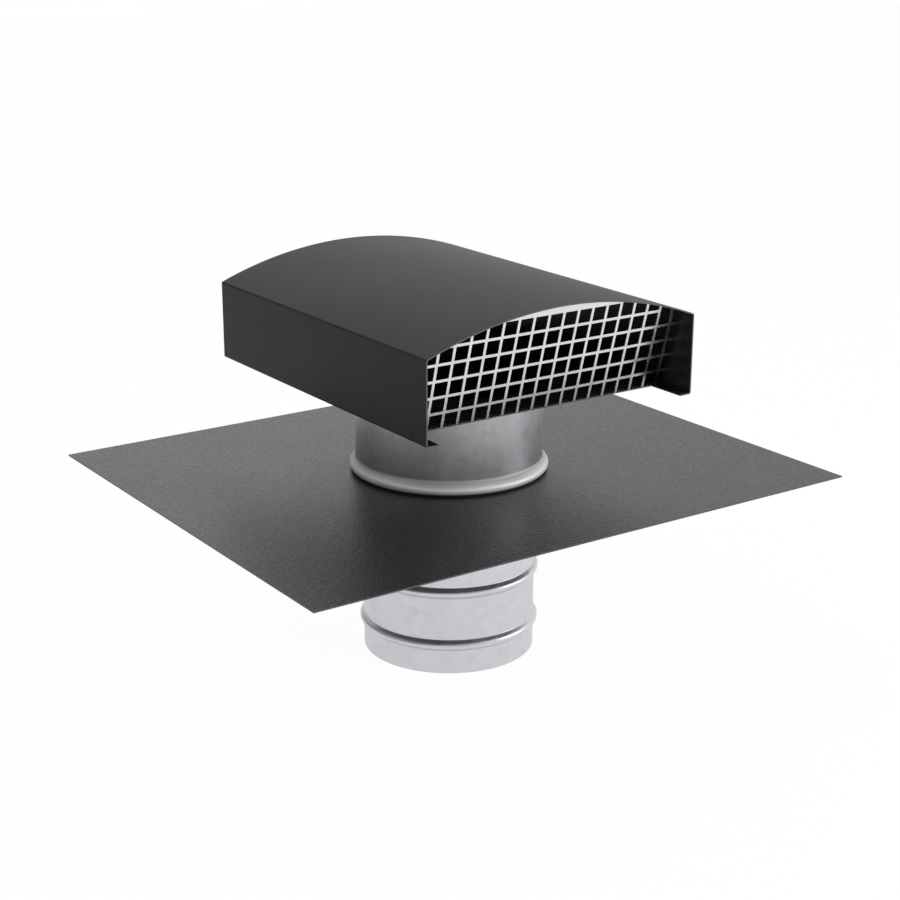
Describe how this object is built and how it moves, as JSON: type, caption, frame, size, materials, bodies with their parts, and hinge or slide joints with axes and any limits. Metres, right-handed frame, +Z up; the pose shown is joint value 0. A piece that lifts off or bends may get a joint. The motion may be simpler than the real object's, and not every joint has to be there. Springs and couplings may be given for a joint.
{
  "type": "roof vent outlet",
  "caption": "Arched sheet-metal hood with a perforated grille at each open end, on a round collar, a flat flashing plate and a beaded duct tube.",
  "frame": {"origin": "centre of the duct tube's lower end", "axes": "+Z up along the duct, X across the hood, -Y out of the front grille"},
  "size_m": [0.434, 0.354, 0.2801],
  "materials": {
    "paint": "dark grey satin paint",
    "inner_paint": "matt black paint",
    "grille_steel": "galvanised",
    "galvanised": "galvanised",
    "seal": "black rubber",
    "rivet": "plain"
  },
  "bodies": {
    "root": {"hood_cover": "paint", "hood_floor": "inner_paint", "front_grille": "grille_steel", "rear_grille": "grille_steel", "weather_collar": "galvanised", "collar_seal": "seal", "flashing_plate": "paint", "duct_tube": "galvanised", "floor_rivets": "rivet", "front_grille_rivets": "rivet", "rear_grille_rivets": "rivet"}
  },
  "joints": []
}
